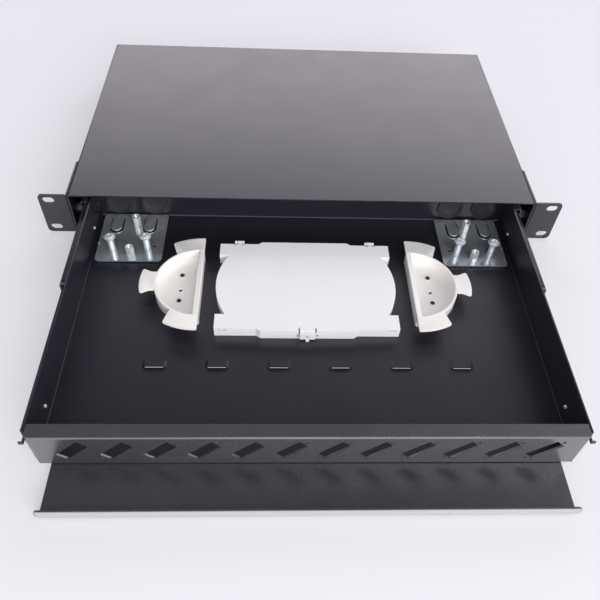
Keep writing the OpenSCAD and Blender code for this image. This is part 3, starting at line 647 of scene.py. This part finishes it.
def make_short_posts(node):
    """Hexagonal posts, chamfered at both ends, with a threaded bore and a plain stud."""
    forms = []
    for low, high in islands(node):
        corner = max(high.x - low.x, high.y - low.y) / 2
        top = high.z - low.z
        foot = top - SHORT_SHAFT
        edge = corner * 0.9
        loops = [ring(r, z, POST_POINTS) for r, z in ((1.5, 0), (STUD, 0.4), (STUD, foot))]
        loops += [hexagon(corner, edge, foot), hexagon(corner, corner, foot + 0.5)]
        loops += [hexagon(corner, corner, top - 0.7), hexagon(corner, edge, top)]
        bore = [(2.6, top), (2.0, top - 0.6)]
        for n in range(12):
            bore += [(1.72, top - 0.85 - n * 0.6), (2.0, top - 1.15 - n * 0.6)]
        loops += [ring(r, z, POST_POINTS) for r, z in bore]
        forms.append(standing(skin(bmesh.new(), loops), low, high))
    piece(node, gathered(forms), 30)


# Blanking plugs of the rear cable entries


def make_plug(node):
    """A soft plug with a dished inner face, a hollow back and a pip in its middle."""
    low, high = box_mm(node)
    brim = (high.x - low.x) / 2
    body = brim - 1.7
    deep = high.y - low.y
    back = deep - 1.8
    profile = [(2.2, 1.5), (2.6, 1.2), (body - 2.7, 1.2), (body - 2.1, 0.9), (body - 1.9, 0.3)]
    profile += [(body - 1.6, 0), (body - 0.4, 0), (body, 0.4), (body, back), (brim - 0.3, back)]
    profile += [(brim, back + 0.3), (brim, deep - 0.6), (brim - 0.6, deep), (body - 1.0, deep)]
    profile += [(body - 1.5, deep - 0.2), (body - 1.7, deep - 0.6), (body - 1.9, back), (3.2, back)]
    profile += [(3.0, back + 0.3), (2.2, back + 0.5)]
    turn = Matrix.Rotation(math.radians(-90), 4, "X")
    place = Matrix.Translation(((low.x + high.x) / 2, low.y, (low.z + high.z) / 2))
    piece(node, moved(turned(profile, 72), place @ turn))


# Fibre spools

SPOOL_RIM = 39          # outer radius of the round wall
SPOOL_TAB = 51.5        # outer radius of the tab opposite the flat wall
SPOOL_CORNER = 53       # outer radius of the tabs at its ends
SPOOL_CHORD = 1.5       # the flat wall's outer face, past the centre
SPOOL_WALL = 1.7
SPOOL_FLOOR = 1.6
SPOOL_FILLET = 6.0      # between the wall and the floor, inside
SPOOL_DRAFT = 0.5       # the wall is this much thicker at its foot
SPOOL_TAB_T = 1.8
SPOOL_EDGE = 0.45       # rounding of the tabs' edges
SPOOL_FLAT = 4.5        # width of the band on top of the flat wall
SPOOL_BORE = 1.6
SPOOL_HOLES = [(17.4, 16.2), (17.4, -1.2), (17.4, -13.4)]


def cup_outline(depth, corner):
    """The D-shaped outline of the cup, moved inwards by this depth."""
    radius = SPOOL_RIM - depth
    wall = depth - SPOOL_CHORD
    middle = Vector((wall + corner, math.sqrt((radius - corner) ** 2 - (wall + corner) ** 2)))
    below = Vector((middle.x, -middle.y))
    reach = math.atan2(middle.y, middle.x)

    def bend(centre, size, start, sweep, steps):
        angles = [start + sweep * k / steps for k in range(steps)]
        return [centre + Vector((math.cos(a), math.sin(a))) * size for a in angles]

    points = bend(Vector((0, 0)), radius, -reach, 2 * reach, 64)
    points += bend(middle, corner, reach, math.pi - reach, 8)
    straights = 12
    points += [Vector((wall, middle.y - 2 * middle.y * k / straights)) for k in range(straights)]
    return points + bend(below, corner, math.pi, math.pi - reach, 8)


def arc(radius, start, end, steps):
    """Points on a circle, from one angle in degrees to another, as corners without rounding."""
    angles = [math.radians(start + (end - start) * k / steps) for k in range(steps + 1)]
    return [(radius * math.cos(a), radius * math.sin(a), 0) for a in angles]


def side_tab():
    """Outline of the tab opposite the flat wall, a little narrower at its waist."""
    root, half = SPOOL_RIM - 1, 16
    tip = arc(SPOOL_TAB, -half, half, 10)
    tip[0] = (*tip[0][:2], 1.6)
    tip[-1] = (*tip[-1][:2], 1.6)
    waist = SPOOL_TAB * math.sin(math.radians(half)) - 3.8
    neck = root + 4
    foot = waist + 0.3
    return rounded([(root, -foot, 0), (neck, -waist, 6), *tip, (neck, waist, 6), (root, foot, 0)])


def corner_tab():
    """Outline of the tab at one end of the flat wall, which carries on the wall's band."""
    root, start, end = SPOOL_RIM - 1.2, 59.5, 91.4
    tip = arc(SPOOL_CORNER, start, end, 10)
    tip[0] = (*tip[0][:2], 1.6)
    tip[-1] = (-SPOOL_CHORD, tip[-1][1], 1.0)
    inner = arc(root, 90, start - 5, 8)
    inner[0] = (-SPOOL_CHORD, root - 4, 0)
    waist = (tip[0][0] - 2.8, tip[0][1] - 8.5, 5)
    return rounded([*tip, *inner, waist])


def screw_boss(x, y, bore, low):
    """A low ring that a screw head sinks into."""
    profile = [(3.5, low - 0.6), (3.5, low), (3.1, low + 0.4), (bore + 1.0, low + 0.5)]
    profile.append((0.5, low + 0.5))
    return moved(turned(profile, 32), Matrix.Translation((x, y, 0)))


def make_spool(node, side):
    """A D-shaped cup with a filleted floor, a band along the flat wall, and three flange tabs."""
    low, high = box_mm(node)
    tall = high.z - low.z
    rim = [(0.9, 0), (0.3, 0.3), (0, 1.0), (0, tall - 0.5), (0.15, tall - 0.15), (0.5, tall)]
    wall = SPOOL_WALL
    rim += [(wall - 0.45, tall), (wall - 0.1, tall - 0.15), (wall, tall - 0.5)]
    for k in range(9):
        angle = math.radians(90 * k / 8)
        inward = SPOOL_DRAFT + SPOOL_FILLET * (1 - math.cos(angle))
        rim.append((wall + inward, SPOOL_FLOOR + SPOOL_FILLET * (1 - math.sin(angle))))
    cup = skin(bmesh.new(), [flat(cup_outline(depth, 2 + 0.3 * depth), z) for depth, z in rim])
    top = tall - 0.03
    corner = corner_tab()
    mirrored = [Vector((p.x, -p.y)) for p in reversed(corner)]
    under = top - SPOOL_TAB_T
    tabs = [slab(shape, under, top, SPOOL_EDGE) for shape in (side_tab(), corner, mirrored)]
    band_half = SPOOL_RIM - 1.5
    band_out = SPOOL_FLAT - SPOOL_CHORD
    band = [(-SPOOL_CHORD, -band_half, 0), (band_out, -band_half, 0)]
    band += [(band_out, band_half, 0), (-SPOOL_CHORD, band_half, 0)]
    tabs.append(slab(rounded(band), under, top - 0.02, SPOOL_EDGE))
    bores = []
    for x, y in SPOOL_HOLES:
        tabs.append(screw_boss(x, y, SPOOL_BORE, SPOOL_FLOOR))
        bore = turned([(SPOOL_BORE, -1), (SPOOL_BORE, 1.5), (2.3, 2.3), (2.6, 4)], 24)
        bores.append(moved(bore, Matrix.Translation((x, y, 0))))
    form = combined(combined(cup, tabs, "UNION"), bores, "DIFFERENCE")
    centre_x = (low.x if side > 0 else high.x) + side * SPOOL_CHORD
    place = Matrix.Translation((centre_x, (low.y + high.y) / 2, low.z))
    flip = Matrix.Scale(side, 4, Vector((1, 0, 0)))
    piece(node, moved(form, place @ flip), 28)


# ---------- CAD nodes that stay ----------


WELD_GAP = 0.000004
BEVEL_ANGLE = math.radians(30)


def soften(node, radius):
    """Welds a CAD node and rounds its edges, as paint, moulding or tumbling does."""
    weld = node.modifiers.new("weld", "WELD")
    weld.merge_threshold = WELD_GAP
    bevel = node.modifiers.new("edges", "BEVEL")
    bevel.width = radius * MM
    bevel.segments = 2
    bevel.limit_method = "ANGLE"
    bevel.angle_limit = BEVEL_ANGLE
    bevel.harden_normals = True


# slot: radius of its edges in millimetres
EDGE_RADII = {
    "powder_coat": 0.25, "panel_coat": 0.25, "slide_steel": 0.25, "tray_plastic": 0.5,
    "zinc_plate": 0.3, "zinc_fasteners": 0.25, "bumper_plastic": 0.3,
}


def dress_cad_nodes():
    """Gives every CAD node the material of its slot, and rounds the edges of those whose slot has an
    edge radius.
    """
    for name, node in NODES.items():
        slot = SLOTS[name]
        node.data.materials.clear()
        node.data.materials.append(MATERIALS[slot])
        if slot in EDGE_RADII:
            soften(node, EDGE_RADII[slot])


# ---------- the scene ----------

make_camera()
make_stage()
MATERIALS = make_materials()
dress_cad_nodes()
for screws in ("cover_screws", "ear_screws"):
    make_screws(screws, axis=0, outward=1, head_h=1.25, shank_r=1.45)
make_screws("drawer_slide_screws", axis=0, outward=-1, head_h=1.4, shank_r=1.5)
make_screws("spool_screws", axis=2, outward=1, head_h=1.2, shank_r=1.3)
for hand in ("left", "right"):
    make_screws(hand + "_clamp_screws", axis=2, outward=1, head_h=1.6, shank_r=1.5)
    make_washers(hand + "_clamp_washers")
    make_tall_posts(hand + "_tall_posts")
    make_short_posts(hand + "_short_posts")
make_spool("left_fiber_spool", -1)
make_spool("right_fiber_spool", 1)
for number in range(1, 5):
    make_plug(f"entry_plug_{number}")
